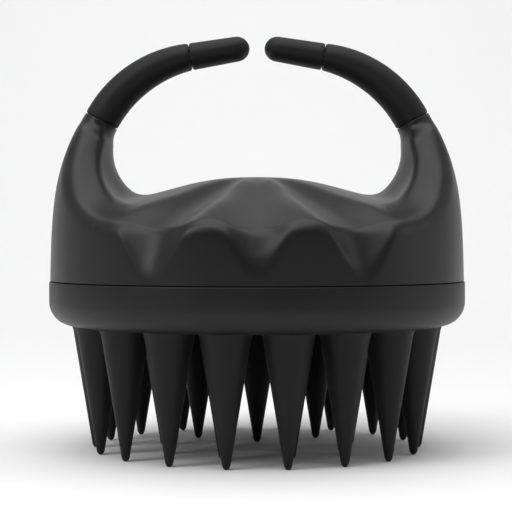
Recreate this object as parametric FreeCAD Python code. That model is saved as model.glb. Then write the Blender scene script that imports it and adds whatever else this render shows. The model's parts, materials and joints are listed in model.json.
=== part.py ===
"""Scalp massager brush: a round two-part head with a field of soft cone tines below,
a dimpled dome above, and two flexible arms that rise from horns at the sides and
nearly meet over the dome, so that the fingers pass under them.

Frame: millimetres, +Z up. The origin is on the floor under the middle of the head,
where the tine tips rest. X runs across the two arms and -Y is the front.
"""

import FreeCAD, Part

import math
import os

from FreeCAD import Matrix, Placement, Rotation, Vector

# ---------------------------------------------------------------- driving sizes
# Tine field
TINE_LENGTH = 24.0            # floor to the underside of the bristle bed
TINE_ROOT_DIAMETER = 9.2
TINE_TIP_DIAMETER = 1.3
TINE_TIP_FILLET = 0.25
TINE_PIVOT_DEPTH = 2.0        # bending centre, below the underside of the bed
TINE_SEAT_CLEARANCE = 0.15    # between the ball-shaped root and its seat
OUTER_COUNT = 18
OUTER_GAP = 1.64              # between neighbouring roots of a ring
MIDDLE_COUNT = 9
MIDDLE_GAP = 3.45
INNER_COUNT = 3
INNER_GAP = 4.3
RING_GAP = 1.0                # least room between the roots of one ring and the next

# Bristle bed and the plate that carries it
BED_MARGIN = 0.4              # from the outer roots to the edge of the bed
BED_SKIN = 1.33               # bed above the tine seats
BED_CLEARANCE = 0.15          # bed to base ring, radially
PLATE_THICKNESS = 2.5
PLATE_CLEARANCE = 0.35        # carrier plate to base ring, radially
PLUG_COUNT = 4
PLUG_RADIUS = 2.0
PLUG_CLEARANCE = 0.1
PLUG_HEAD_OVERHANG = 0.7
PLUG_HEAD_HEIGHT = 1.0

# Base ring
RIM_WIDTH = 3.65              # opening of the ring to its outside
RIM_CORNER = 4.5              # rounding of the ring's lower edge
LEDGE_THICKNESS = 1.3
LEDGE_WIDTH = 2.85
TOP_CHAMFER = 0.2
SKIRT_INSET = 2.9             # outside of the ring to outside of its skirt
SKIRT_WALL = 1.8
SKIRT_HEIGHT = 2.8
SKIRT_CLEARANCE = 0.2         # skirt to shell, radially
SKIRT_HEADROOM = 0.3          # skirt to shell, above it
BEAD_HEIGHT = 0.35
BEAD_HALF_WIDTH = 0.35
BEAD_BELOW_TOP = 0.55
BEAD_CLEARANCE = 0.12

# Parting seal, an O-ring in the skirt
SEAL_SECTION = 0.9
SEAL_SEAT_GAP = 0.02
SEAL_PROUD = 0.17             # seal beyond the skirt's outside
SEAL_SIDE_GAP = 0.05
SEAL_ABOVE_PARTING = 0.45

# Handle shell; outlines are (inset from the ring's outside, height above the parting line)
PARTING_GAP = 0.2
SHELL_INSET = 0.2             # shell wall behind the ring's outside
WALL_OUTLINE = ((0.35, 6.0), (0.75, 13.0), (1.5, 18.5), (2.8, 23.5), (4.7, 28.2))
SHOULDER_HEIGHT = 11.2
SHOULDER_INSET = 3.6
SHOULDER_OUTLINE = ((1.2, 9.3), (0.35, 6.7))
DOME_HEIGHT = 19.8
DOME_OUTLINE = ((32.5, 19.5), (21.0, 16.9), (10.0, 13.2))
CAVITY_OUTLINE = ((6.0, 4.9), (12.0, 7.9), (22.0, 11.8), (32.0, 14.7))
CROWN_WALL = 4.6

# Finger dimples, cut round the shoulder
DIMPLE_ANGLES = (-27.0, 0.0, 27.0)
DIMPLE_RADIUS = 17.0
DIMPLE_DEPTH = 3.0
DIMPLE_TILT = 45.0            # above level, the way that a dimple faces

# Horns that carry the arms
HORN_LOOP_RADIUS = 9.9        # rounding of the loop beside the dome
HORN_LOOP_INSET = 22.0
HORN_LOOP_HEIGHT = 25.1
LOOP_SIDE_ANGLE = -35.0       # a point on the loop's rounding, from level
FLARE_OUTLINE = ((7.4, 28.2), (10.4, 24.2), (15.0, 19.2), (20.5, 14.7))   # (half depth, height)
FLARE_FOOT_INSET = 11.6
FLARE_FOOT_DROP = 0.7         # foot of the flare, below the shoulder
SEAM_INSET = 9.9              # centre of the seam, from the ring's outside
SEAM_HEIGHT = 30.95           # centre of the seam, above the parting line
SEAM_ANGLE = 62.0             # direction of the arm at the seam, above level
HORN_OVERRUN = 4.0            # horn outline carried past the seam before it is trimmed

# Arms
ARM_BEND_RADIUS = 24.0
TIP_ANGLE = 9.5               # direction of the arm's end, above level
TIP_GAP = 3.06                # between the two arm ends
ROOT_THICKNESS = 6.8
KNEE_THICKNESS = 5.2          # at the seam between sleeve and tip
END_THICKNESS = 4.8
ROOT_DEPTH = 9.6
KNEE_DEPTH = 8.2
SLEEVE_STATIONS = 6
SEAM_GAP = 0.15
ARM_OPENS = 15.0              # degrees, away from the other arm
ARM_CLOSES = 5.0
FLEX_RELIEF = 1.0             # spare angle of the wedge cut for flexing

# Spine, a spring strip inside each arm
SPINE_THICKNESS = 0.8
SPINE_WIDTH = 4.4
SPINE_CLEARANCE = 0.06
SPINE_IN_HORN = 6.0
SPINE_IN_TIP = 6.0
SPINE_FOOT_LENGTH = 1.4
SPINE_FOOT_LIP = 0.7          # foot wider than the strip, on each side

# Screws that clamp the carrier plate to the shell
SCREW_COUNT = 4
SCREW_CIRCLE_INSET = 15.0     # from the ring's outside
SCREW_SHANK_RADIUS = 1.25
SCREW_HOLE_CLEARANCE = 0.2
SCREW_HEAD_RADIUS = 2.2
SCREW_HEAD_HEIGHT = 1.2
SCREW_HEAD_CLEARANCE = 0.3    # round the head, in its counterbore
SCREW_HEAD_SINK = 0.2         # head below the plate's face
SCREW_LENGTH = 8.0
SCREW_SLOT_WIDTH = 0.6
SCREW_SLOT_DEPTH = 0.7
BOSS_WALL = 1.95
BOSS_INTO_CROWN = 0.5         # boss top, into the shell's crown
PILOT_SPARE = 1.0

# ---------------------------------------------------------------- worked-out sizes
ROOT_RADIUS = TINE_ROOT_DIAMETER / 2
TIP_RADIUS = TINE_TIP_DIAMETER / 2


def ring_radius(count, gap, inside):
    """The circle that holds a ring of tines, and that clears the ring inside it."""
    own = (TINE_ROOT_DIAMETER + gap) / 2 / math.sin(math.pi / count)
    return max(own, inside + TINE_ROOT_DIAMETER + RING_GAP)


INNER_RADIUS = ring_radius(INNER_COUNT, INNER_GAP, -TINE_ROOT_DIAMETER)
MIDDLE_RADIUS = ring_radius(MIDDLE_COUNT, MIDDLE_GAP, INNER_RADIUS)
OUTER_RADIUS = ring_radius(OUTER_COUNT, OUTER_GAP, MIDDLE_RADIUS)
BALL_RADIUS = math.hypot(ROOT_RADIUS, TINE_PIVOT_DEPTH)
SEAT_RADIUS = BALL_RADIUS + TINE_SEAT_CLEARANCE

BED_RADIUS = OUTER_RADIUS + ROOT_RADIUS + BED_MARGIN
BED_THICKNESS = SEAT_RADIUS - TINE_PIVOT_DEPTH + BED_SKIN
OPENING_RADIUS = BED_RADIUS + BED_CLEARANCE
BODY_RADIUS = OPENING_RADIUS + RIM_WIDTH
PLATE_RADIUS = OPENING_RADIUS - PLATE_CLEARANCE
SKIRT_RADIUS = BODY_RADIUS - SKIRT_INSET
BORE_RADIUS = SKIRT_RADIUS + SKIRT_CLEARANCE
SPINE_FOOT_WIDTH = SPINE_WIDTH + 2 * SPINE_FOOT_LIP
PLUG_CIRCLE = (OUTER_RADIUS + MIDDLE_RADIUS) / 2
SCREW_CIRCLE = BODY_RADIUS - SCREW_CIRCLE_INSET
COUNTERBORE_DEPTH = SCREW_HEAD_HEIGHT + SCREW_HEAD_SINK
SEAL_GROOVE_DEPTH = SEAL_SECTION + SEAL_SEAT_GAP - SEAL_PROUD
SEAL_GROOVE_HEIGHT = SEAL_SECTION + 2 * SEAL_SIDE_GAP

BED_Z = TINE_LENGTH
PIVOT_Z = BED_Z - TINE_PIVOT_DEPTH
PLATE_Z = BED_Z + BED_THICKNESS
LEDGE_Z = PLATE_Z + PLATE_THICKNESS
PARTING_Z = LEDGE_Z + LEDGE_THICKNESS
SHELL_Z = PARTING_Z + PARTING_GAP
SKIRT_TOP_Z = PARTING_Z + SKIRT_HEIGHT
BEAD_Z = SKIRT_TOP_Z - BEAD_BELOW_TOP
SEAL_GROOVE_Z = PARTING_Z + SEAL_ABOVE_PARTING
DOME_Z = PARTING_Z + DOME_HEIGHT
CROWN_Z = DOME_Z - CROWN_WALL

SEAM_CENTRE = Vector(BODY_RADIUS - SEAM_INSET, 0, PARTING_Z + SEAM_HEIGHT)
SEAM_DIRECTION = Vector(-math.cos(math.radians(SEAM_ANGLE)), 0, math.sin(math.radians(SEAM_ANGLE)))
TIP_DIRECTION = Vector(-math.cos(math.radians(TIP_ANGLE)), 0, math.sin(math.radians(TIP_ANGLE)))

Z_AXIS = Vector(0, 0, 1)
Y_AXIS = Vector(0, 1, 0)


# ---------------------------------------------------------------- helpers
def line(a, b):
    return Part.LineSegment(a, b).toShape()


def flat(points):
    """A face in the XZ plane, round the given (x, z) points."""
    corners = [Vector(x, 0, z) for x, z in points]
    return Part.Face(Part.makePolygon(corners + corners[:1]))


def turned(face):
    """The solid that a face in the XZ plane sweeps about the Z axis."""
    return face.revolve(Vector(0, 0, 0), Z_AXIS, 360)


def smooth(points):
    """A smooth edge through (x, z) points in the XZ plane."""
    curve = Part.BSplineCurve()
    curve.interpolate([Vector(x, 0, z) for x, z in points])
    return curve.toShape()


def polar(radius, degrees, z=0.0):
    """A point at an angle from the front, positive towards +X."""
    a = math.radians(degrees)
    return Vector(radius * math.sin(a), -radius * math.cos(a), z)


def mirrored(shape):
    return shape.mirror(Vector(0, 0, 0), Vector(1, 0, 0))


def placed(outline):
    """Outline points as (x, z), from their insets and heights."""
    return [(BODY_RADIUS - inset, PARTING_Z + height) for inset, height in outline]


# ---------------------------------------------------------------- arm line
def across(direction):
    """The arm's thickness direction, away from the finger loop."""
    return Vector(direction.z, 0, -direction.x)


def arm_point(turn):
    """A point of the right arm's centre line, after turning by some degrees from the seam."""
    centre = SEAM_CENTRE - across(SEAM_DIRECTION) * ARM_BEND_RADIUS
    a = math.radians(turn)
    return centre + (across(SEAM_DIRECTION) * math.cos(a) + SEAM_DIRECTION * math.sin(a)) * ARM_BEND_RADIUS


def arm_direction(turn):
    a = math.radians(SEAM_ANGLE - turn)
    return Vector(-math.cos(a), 0, math.sin(a))


ARM_TURN = SEAM_ANGLE - TIP_ANGLE
KNEE_CENTRE = arm_point(ARM_TURN)
TIP_REACH = (KNEE_CENTRE.x - TIP_GAP / 2) / -TIP_DIRECTION.x


def oval(centre, direction, thickness, depth):
    """An elliptical wire square to the arm, always started at the outer side."""
    out = across(direction)
    if depth >= thickness:
        curve = Part.Ellipse(centre + Y_AXIS * depth / 2, centre + out * thickness / 2, centre)
    else:
        curve = Part.Ellipse(centre + out * thickness / 2, centre + Y_AXIS * depth / 2, centre)
    return Part.Wire([curve.toShape()])


def wedge(centre, direction):
    """What is behind a seam, and the room that flexing needs on each side of its centre line."""
    outer_angle = math.radians(ARM_OPENS + FLEX_RELIEF)
    inner_angle = math.radians(ARM_CLOSES + FLEX_RELIEF)
    out = across(direction)
    apex = centre + direction * SEAM_GAP
    outer_edge = apex + (out * math.cos(outer_angle) + direction * math.sin(outer_angle)) * 2 * ROOT_DEPTH
    inner_edge = apex + (direction * math.sin(inner_angle) - out * math.cos(inner_angle)) * 2 * ROOT_DEPTH
    behind = direction * 2 * ROOT_DEPTH
    corners = [apex, outer_edge, outer_edge - behind, inner_edge - behind, inner_edge]
    side = Part.Face(Part.makePolygon(corners + corners[:1]))
    side.translate(Y_AXIS * -ROOT_DEPTH)
    return side.extrude(Y_AXIS * 2 * ROOT_DEPTH)


# ---------------------------------------------------------------- handle shell
def seam_outer():
    """The outer end of the seam on the right, where the shell's wall runs into the sleeve."""
    return SEAM_CENTRE + across(SEAM_DIRECTION) * ROOT_THICKNESS / 2


def bell():
    """The outer wall of the head, carried on up past the seams of the arms."""
    seam = seam_outer()
    past = seam + SEAM_DIRECTION * HORN_OVERRUN
    wall = [(BODY_RADIUS - SHELL_INSET, SHELL_Z)] + placed(WALL_OUTLINE)
    wall += [(seam.x, seam.z), (past.x, past.z)]
    low = Vector(wall[0][0], 0, SHELL_Z)
    edges = [
        smooth(wall),
        line(past, Vector(0, 0, past.z)),
        line(Vector(0, 0, past.z), Vector(0, 0, SHELL_Z)),
        line(Vector(0, 0, SHELL_Z), low),
    ]
    return turned(Part.Face(Part.Wire(edges)))


def dome():
    """The dome and its shoulder, before the dimples."""
    crown = [(0.0, DOME_Z)] + placed(DOME_OUTLINE)
    crown += placed(((SHOULDER_INSET, SHOULDER_HEIGHT),) + SHOULDER_OUTLINE)
    edge = Vector(crown[-1][0], 0, crown[-1][1])
    low = Vector(BODY_RADIUS - SHELL_INSET, 0, SHELL_Z)
    edges = [
        smooth(crown),
        line(edge, low),
        line(low, Vector(0, 0, SHELL_Z)),
        line(Vector(0, 0, SHELL_Z), Vector(0, 0, DOME_Z)),
    ]
    return turned(Part.Face(Part.Wire(edges)))


def horn_front():
    """The right horn from the front: a round loop beside the dome, cut off square at the seam."""
    loop = Vector(BODY_RADIUS - HORN_LOOP_INSET, 0, PARTING_Z + HORN_LOOP_HEIGHT)
    out = across(SEAM_DIRECTION)
    inner = SEAM_CENTRE - out * ROOT_THICKNESS / 2
    outer = SEAM_CENTRE + out * ROOT_THICKNESS
    towards_seam = inner - loop
    joined = loop + towards_seam * (HORN_LOOP_RADIUS / towards_seam.Length)
    lowest = loop - Z_AXIS * HORN_LOOP_RADIUS
    a = math.radians(LOOP_SIDE_ANGLE)
    side = loop + Vector(math.cos(a), 0, math.sin(a)) * HORN_LOOP_RADIUS
    corners = [joined, inner, outer, Vector(2 * BODY_RADIUS, 0, outer.z),
               Vector(2 * BODY_RADIUS, 0, SHELL_Z), Vector(loop.x, 0, SHELL_Z), lowest]
    edges = [Part.Arc(lowest, side, joined).toShape()]
    edges += [line(a, b) for a, b in zip(corners, corners[1:])]
    return Part.Face(Part.Wire(edges))


def horn_side():
    """The horn from the side: it flares from the arm's root down to the shoulder."""
    root = ROOT_DEPTH / 2
    seam_z = PARTING_Z + SEAM_HEIGHT
    halves = [(root, seam_z + HORN_OVERRUN), (root, seam_z)]
    halves += [(depth, PARTING_Z + height) for depth, height in FLARE_OUTLINE]
    foot = BODY_RADIUS - FLARE_FOOT_INSET
    halves.append((foot, PARTING_Z + SHOULDER_HEIGHT - FLARE_FOOT_DROP))
    top, low = halves[0], halves[-1]
    flare = smooth(halves)
    flare.rotate(Vector(0, 0, 0), Z_AXIS, 90)
    rim = [
        flare,
        line(Vector(0, foot, low[1]), Vector(0, foot, SHELL_Z)),
        line(Vector(0, foot, SHELL_Z), Vector(0, -foot, SHELL_Z)),
        line(Vector(0, -foot, SHELL_Z), Vector(0, -foot, low[1])),
        flare.mirror(Vector(0, 0, 0), Y_AXIS),
        line(Vector(0, -root, top[1]), Vector(0, root, top[1])),
    ]
    return Part.Face(Part.Wire(Part.__sortEdges__(rim)))


def horns():
    """The two horns: where the front outline, the side outline and the bell's wall meet."""
    front = horn_front()
    front.translate(Y_AXIS * -BODY_RADIUS)
    right = front.extrude(Y_AXIS * 2 * BODY_RADIUS)
    right = right.common(horn_side().extrude(Vector(2 * BODY_RADIUS, 0, 0)))
    right = right.common(bell())
    return right, mirrored(right)


def dimple(degrees):
    """One finger dimple: a ball that presses into the shoulder from above and outside."""
    tilt = math.radians(DIMPLE_TILT)
    lift = DIMPLE_RADIUS - DIMPLE_DEPTH
    radius = BODY_RADIUS - SHOULDER_INSET + lift * math.cos(tilt)
    height = PARTING_Z + SHOULDER_HEIGHT + lift * math.sin(tilt)
    return Part.makeSphere(DIMPLE_RADIUS, polar(radius, degrees, height))


def cavity():
    """The hollow inside the shell, with the bore for the skirt and the groove for its bead."""
    groove = BEAD_HALF_WIDTH + BEAD_CLEARANCE
    return turned(flat([
        (0, PARTING_Z),
        (BORE_RADIUS, PARTING_Z),
        (BORE_RADIUS, BEAD_Z - groove),
        (SKIRT_RADIUS + BEAD_HEIGHT + BEAD_CLEARANCE, BEAD_Z),
        (BORE_RADIUS, BEAD_Z + groove),
        (BORE_RADIUS, SKIRT_TOP_Z + SKIRT_HEADROOM),
    ] + placed(CAVITY_OUTLINE) + [(0, CROWN_Z)]))


def screw_points():
    return [polar(SCREW_CIRCLE, 360 / SCREW_COUNT * (k + 0.5)) for k in range(SCREW_COUNT)]


def bosses():
    """Screw bosses, from the carrier plate up into the crown of the shell."""
    roof = CROWN_Z - (CROWN_WALL - BOSS_INTO_CROWN)
    radius = SCREW_SHANK_RADIUS + BOSS_WALL
    return [Part.makeCylinder(radius, roof - LEDGE_Z, p + Z_AXIS * LEDGE_Z) for p in screw_points()]


def pilot_holes():
    depth = SCREW_LENGTH - (PLATE_THICKNESS - COUNTERBORE_DEPTH) + PILOT_SPARE
    return [Part.makeCylinder(SCREW_SHANK_RADIUS, depth, p + Z_AXIS * LEDGE_Z) for p in screw_points()]


def spine_socket():
    """The slot in the right horn that takes the foot of the spine."""
    thickness = SPINE_THICKNESS + 2 * SPINE_CLEARANCE
    length = SPINE_IN_HORN + SPINE_CLEARANCE
    foot = SPINE_FOOT_LENGTH + 2 * SPINE_CLEARANCE
    strip = bar(SEAM_CENTRE - SEAM_DIRECTION * length, SEAM_DIRECTION, length + 1,
                thickness, SPINE_WIDTH + 2 * SPINE_CLEARANCE)
    base = bar(SEAM_CENTRE - SEAM_DIRECTION * length, SEAM_DIRECTION, foot,
               thickness, SPINE_FOOT_WIDTH + 2 * SPINE_CLEARANCE)
    return strip.fuse(base)


def bar(start, direction, length, thickness, width):
    """A straight bar along the arm, centred on its start."""
    out = across(direction)
    corners = [
        start + out * thickness / 2 + Y_AXIS * width / 2,
        start - out * thickness / 2 + Y_AXIS * width / 2,
        start - out * thickness / 2 - Y_AXIS * width / 2,
        start + out * thickness / 2 - Y_AXIS * width / 2,
    ]
    return Part.Face(Part.makePolygon(corners + corners[:1])).extrude(direction * length)


def handle_shell():
    body = dome()
    for horn in horns():
        body = body.fuse(horn)
    body = body.common(bell())
    for angle in DIMPLE_ANGLES:
        body = body.cut(dimple(angle))
        body = body.cut(dimple(180 + angle))
    body = body.cut(cavity())
    body = body.fuse(bosses())
    body = body.cut(pilot_holes())
    socket = spine_socket()
    return body.cut([socket, mirrored(socket)]).removeSplitter()


# ---------------------------------------------------------------- head
def base_ring():
    centre = Vector(BODY_RADIUS - RIM_CORNER, 0, BED_Z + RIM_CORNER)
    inside = OPENING_RADIUS - centre.x
    low = Vector(OPENING_RADIUS, 0, centre.z - math.sqrt(RIM_CORNER ** 2 - inside ** 2))
    halfway = math.atan2(low.z - centre.z, inside) / 2
    middle = centre + Vector(math.cos(halfway), 0, math.sin(halfway)) * RIM_CORNER
    corners = [
        (BODY_RADIUS, centre.z),
        (BODY_RADIUS, PARTING_Z - TOP_CHAMFER),
        (BODY_RADIUS - TOP_CHAMFER, PARTING_Z),
        (SKIRT_RADIUS, PARTING_Z),
        (SKIRT_RADIUS, SEAL_GROOVE_Z),
        (SKIRT_RADIUS - SEAL_GROOVE_DEPTH, SEAL_GROOVE_Z),
        (SKIRT_RADIUS - SEAL_GROOVE_DEPTH, SEAL_GROOVE_Z + SEAL_GROOVE_HEIGHT),
        (SKIRT_RADIUS, SEAL_GROOVE_Z + SEAL_GROOVE_HEIGHT),
        (SKIRT_RADIUS, BEAD_Z - BEAD_HALF_WIDTH),
        (SKIRT_RADIUS + BEAD_HEIGHT, BEAD_Z),
        (SKIRT_RADIUS, BEAD_Z + BEAD_HALF_WIDTH),
        (SKIRT_RADIUS - TOP_CHAMFER, SKIRT_TOP_Z),
        (SKIRT_RADIUS - SKIRT_WALL, SKIRT_TOP_Z),
        (SKIRT_RADIUS - SKIRT_WALL, PARTING_Z),
        (OPENING_RADIUS - LEDGE_WIDTH, PARTING_Z),
        (OPENING_RADIUS - LEDGE_WIDTH, LEDGE_Z),
        (OPENING_RADIUS, LEDGE_Z),
        (OPENING_RADIUS, low.z),
    ]
    points = [Vector(x, 0, z) for x, z in corners]
    edges = [Part.Arc(low, middle, points[0]).toShape()]
    edges += [line(a, b) for a, b in zip(points, points[1:])]
    return turned(Part.Face(Part.Wire(edges)))


def parting_seal():
    section = SEAL_SECTION / 2
    radius = SKIRT_RADIUS - SEAL_GROOVE_DEPTH + SEAL_SEAT_GAP + section
    return Part.makeTorus(radius, section, Vector(0, 0, SEAL_GROOVE_Z + SEAL_GROOVE_HEIGHT / 2))


def plug_points(z):
    return [polar(PLUG_CIRCLE, 360 / PLUG_COUNT * k, z) for k in range(PLUG_COUNT)]


def tine_layout():
    """Name, place and angle from the front of every tine."""
    rings = (
        ("outer_tine", OUTER_COUNT, OUTER_RADIUS, 180 / OUTER_COUNT),
        ("middle_tine", MIDDLE_COUNT, MIDDLE_RADIUS, 180 / MIDDLE_COUNT),
        ("inner_tine", INNER_COUNT, INNER_RADIUS, 180 / INNER_COUNT),
    )
    found = []
    for name, count, radius, first in rings:
        for k in range(count):
            angle = first + 360 / count * k
            found.append((f"{name}_{k + 1:02d}", polar(radius, angle), angle))
    return found


def bristle_bed():
    """The silicone disc that the tines stand in, with plugs that hold it in the carrier plate."""
    bed = Part.makeCylinder(BED_RADIUS, BED_THICKNESS, Vector(0, 0, BED_Z))
    head = PLUG_RADIUS + PLUG_HEAD_OVERHANG
    for p in plug_points(PLATE_Z):
        bed = bed.fuse(Part.makeCylinder(PLUG_RADIUS, PLATE_THICKNESS, p))
        bed = bed.fuse(Part.makeCylinder(head, PLUG_HEAD_HEIGHT, p + Z_AXIS * PLATE_THICKNESS))
    seats = [Part.makeSphere(SEAT_RADIUS, place + Z_AXIS * PIVOT_Z) for _, place, _ in tine_layout()]
    return bed.cut(seats).removeSplitter()


def carrier_plate():
    plate = Part.makeCylinder(PLATE_RADIUS, PLATE_THICKNESS, Vector(0, 0, PLATE_Z))
    shank = SCREW_SHANK_RADIUS + SCREW_HOLE_CLEARANCE
    head = SCREW_HEAD_RADIUS + SCREW_HEAD_CLEARANCE
    plug = PLUG_RADIUS + PLUG_CLEARANCE
    holes = [Part.makeCylinder(plug, PLATE_THICKNESS, p) for p in plug_points(PLATE_Z)]
    for p in screw_points():
        holes.append(Part.makeCylinder(shank, PLATE_THICKNESS, p + Z_AXIS * PLATE_Z))
        holes.append(Part.makeCylinder(head, COUNTERBORE_DEPTH, p + Z_AXIS * PLATE_Z))
    return plate.cut(holes)


def carrier_screws():
    """Four screws, each with a cross slot."""
    under_head = PLATE_Z + COUNTERBORE_DEPTH
    slot = 2 * SCREW_HEAD_RADIUS - SCREW_SLOT_WIDTH * 2
    screws = []
    for p in screw_points():
        foot = p + Z_AXIS * (under_head - SCREW_HEAD_HEIGHT)
        screw = Part.makeCylinder(SCREW_HEAD_RADIUS, SCREW_HEAD_HEIGHT, foot)
        screw = screw.fuse(Part.makeCylinder(SCREW_SHANK_RADIUS, SCREW_LENGTH, p + Z_AXIS * under_head))
        for long, wide in ((slot, SCREW_SLOT_WIDTH), (SCREW_SLOT_WIDTH, slot)):
            corner = foot - Vector(long / 2, wide / 2, 0)
            screw = screw.cut(Part.makeBox(long, wide, SCREW_SLOT_DEPTH, corner))
        screws.append(screw)
    return Part.makeCompound(screws)


def tine():
    """One tine at the origin: a cone whose root is part of a ball about the bending centre."""
    tip = Vector(TIP_RADIUS, 0, 0)
    root = Vector(ROOT_RADIUS, 0, BED_Z)
    pivot = Vector(0, 0, PIVOT_Z)
    crown = pivot + Z_AXIS * BALL_RADIUS
    halfway = (math.pi / 2 + math.atan2(TINE_PIVOT_DEPTH, ROOT_RADIUS)) / 2
    on_ball = pivot + Vector(math.cos(halfway), 0, math.sin(halfway)) * BALL_RADIUS
    profile = Part.Wire([
        line(Vector(0, 0, 0), tip),
        line(tip, root),
        Part.Arc(root, on_ball, crown).toShape(),
        line(crown, Vector(0, 0, 0)),
    ])
    solid = turned(Part.Face(profile))
    tip_edge = [e for e in solid.Edges if e.Closed and e.BoundBox.ZMax < TINE_TIP_FILLET]
    return solid.makeFillet(TINE_TIP_FILLET, tip_edge)


# ---------------------------------------------------------------- arms
def sleeve_thickness(share):
    """The sleeve thins slowly at first, and fastest at the knee."""
    return ROOT_THICKNESS + (KNEE_THICKNESS - ROOT_THICKNESS) * share ** 2


def sleeve_depth(share):
    return ROOT_DEPTH + (KNEE_DEPTH - ROOT_DEPTH) * share


def arm_sleeve():
    """The right sleeve, bored for the spine, with a wedge cut at the horn so that it can flex."""
    rings = []
    for k in range(SLEEVE_STATIONS + 1):
        share = k / SLEEVE_STATIONS
        turn = ARM_TURN * share
        rings.append(oval(arm_point(turn), arm_direction(turn), sleeve_thickness(share), sleeve_depth(share)))
    body = Part.makeLoft(rings, True, False)
    body = body.cut(wedge(SEAM_CENTRE, SEAM_DIRECTION))
    return body.cut(spine_run(SPINE_CLEARANCE))


def spine_run(clearance):
    """The spine's curved stretch, from the horn's seam to the knee, grown by a clearance."""
    half = SPINE_THICKNESS / 2 + clearance
    width = SPINE_WIDTH + 2 * clearance
    edges = []
    for side in (half, -half):
        a, b, c = (arm_point(t) + across(arm_direction(t)) * side for t in (0, ARM_TURN / 2, ARM_TURN))
        edges.append((a, b, c))
    (a, b, c), (d, e, f) = edges
    rim = Part.Wire([
        Part.Arc(a, b, c).toShape(),
        line(c, f),
        Part.Arc(f, e, d).toShape(),
        line(d, a),
    ])
    face = Part.Face(rim)
    face.translate(Y_AXIS * -width / 2)
    return face.extrude(Y_AXIS * width)


def arm_spine():
    """The right spine: a spring strip with a wide foot in the horn and a straight end in the tip."""
    foot_start = SEAM_CENTRE - SEAM_DIRECTION * SPINE_IN_HORN
    foot = bar(foot_start, SEAM_DIRECTION, SPINE_FOOT_LENGTH, SPINE_THICKNESS, SPINE_FOOT_WIDTH)
    root = bar(foot_start, SEAM_DIRECTION, SPINE_IN_HORN, SPINE_THICKNESS, SPINE_WIDTH)
    end = bar(KNEE_CENTRE, TIP_DIRECTION, SPINE_IN_TIP, SPINE_THICKNESS, SPINE_WIDTH)
    return root.fuse([foot, spine_run(0.0), end]).removeSplitter()


def arm_tip():
    """The right tip: an oval cap with a round end, pocketed for the spine."""
    root, end = KNEE_THICKNESS / 2, END_THICKNESS / 2
    shoulder = TIP_REACH - end
    half = math.radians(45)
    profile = Part.Wire([
        line(Vector(0, 0, 0), Vector(root, 0, 0)),
        line(Vector(root, 0, 0), Vector(end, 0, shoulder)),
        Part.Arc(Vector(end, 0, shoulder),
                 Vector(end * math.cos(half), 0, shoulder + end * math.sin(half)),
                 Vector(0, 0, TIP_REACH)).toShape(),
        line(Vector(0, 0, TIP_REACH), Vector(0, 0, 0)),
    ])
    cap = turned(Part.Face(profile))
    stretch = Matrix()
    stretch.scale(1, KNEE_DEPTH / KNEE_THICKNESS, 1)
    cap = cap.transformGeometry(stretch)
    cap.Placement = Placement(KNEE_CENTRE, Rotation(Y_AXIS, TIP_ANGLE - 90))
    cap = cap.cut(wedge(KNEE_CENTRE, TIP_DIRECTION))
    pocket = bar(KNEE_CENTRE - TIP_DIRECTION, TIP_DIRECTION, SPINE_IN_TIP + SPINE_CLEARANCE + 1,
                 SPINE_THICKNESS + 2 * SPINE_CLEARANCE, SPINE_WIDTH + 2 * SPINE_CLEARANCE)
    return cap.cut(pocket)


# ---------------------------------------------------------------- writing the parts
def all_parts():
    parts = {
        "handle_shell": handle_shell(),
        "base_ring": base_ring(),
        "parting_seal": parting_seal(),
        "carrier_plate": carrier_plate(),
        "carrier_screws": carrier_screws(),
        "bristle_bed": bristle_bed(),
    }
    for name, make in (("spine", arm_spine), ("sleeve", arm_sleeve), ("tip", arm_tip)):
        right = make()
        parts[f"right_arm_{name}"] = right
        parts[f"left_arm_{name}"] = mirrored(right)
    pattern = tine()
    for name, place, angle in tine_layout():
        one = pattern.copy()
        one.Placement = Placement(place, Rotation(Z_AXIS, angle))
        parts[name] = one
    return parts


def main():
    os.makedirs("parts", exist_ok=True)
    for name, shape in all_parts().items():
        shape.exportStep(f"parts/{name}.step")
        print(f"{name:16s} solids {len(shape.Solids)} valid {shape.isValid()} volume {shape.Volume:.1f}")
    print(f"head radius {BODY_RADIUS:.2f}, parting line {PARTING_Z:.2f}, dome {DOME_Z:.2f}")


main()
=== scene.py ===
"""A scalp massager brush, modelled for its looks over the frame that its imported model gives.

The head has a moulded shell with finger dimples and two horns, a ring under it and a bed of soft
cone tines. Two silicone-covered arms rise from the horns and nearly meet over the dome.
"""

import json
import math

import bmesh
import bpy
import numpy as np
from mathutils import Matrix, Vector

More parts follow.
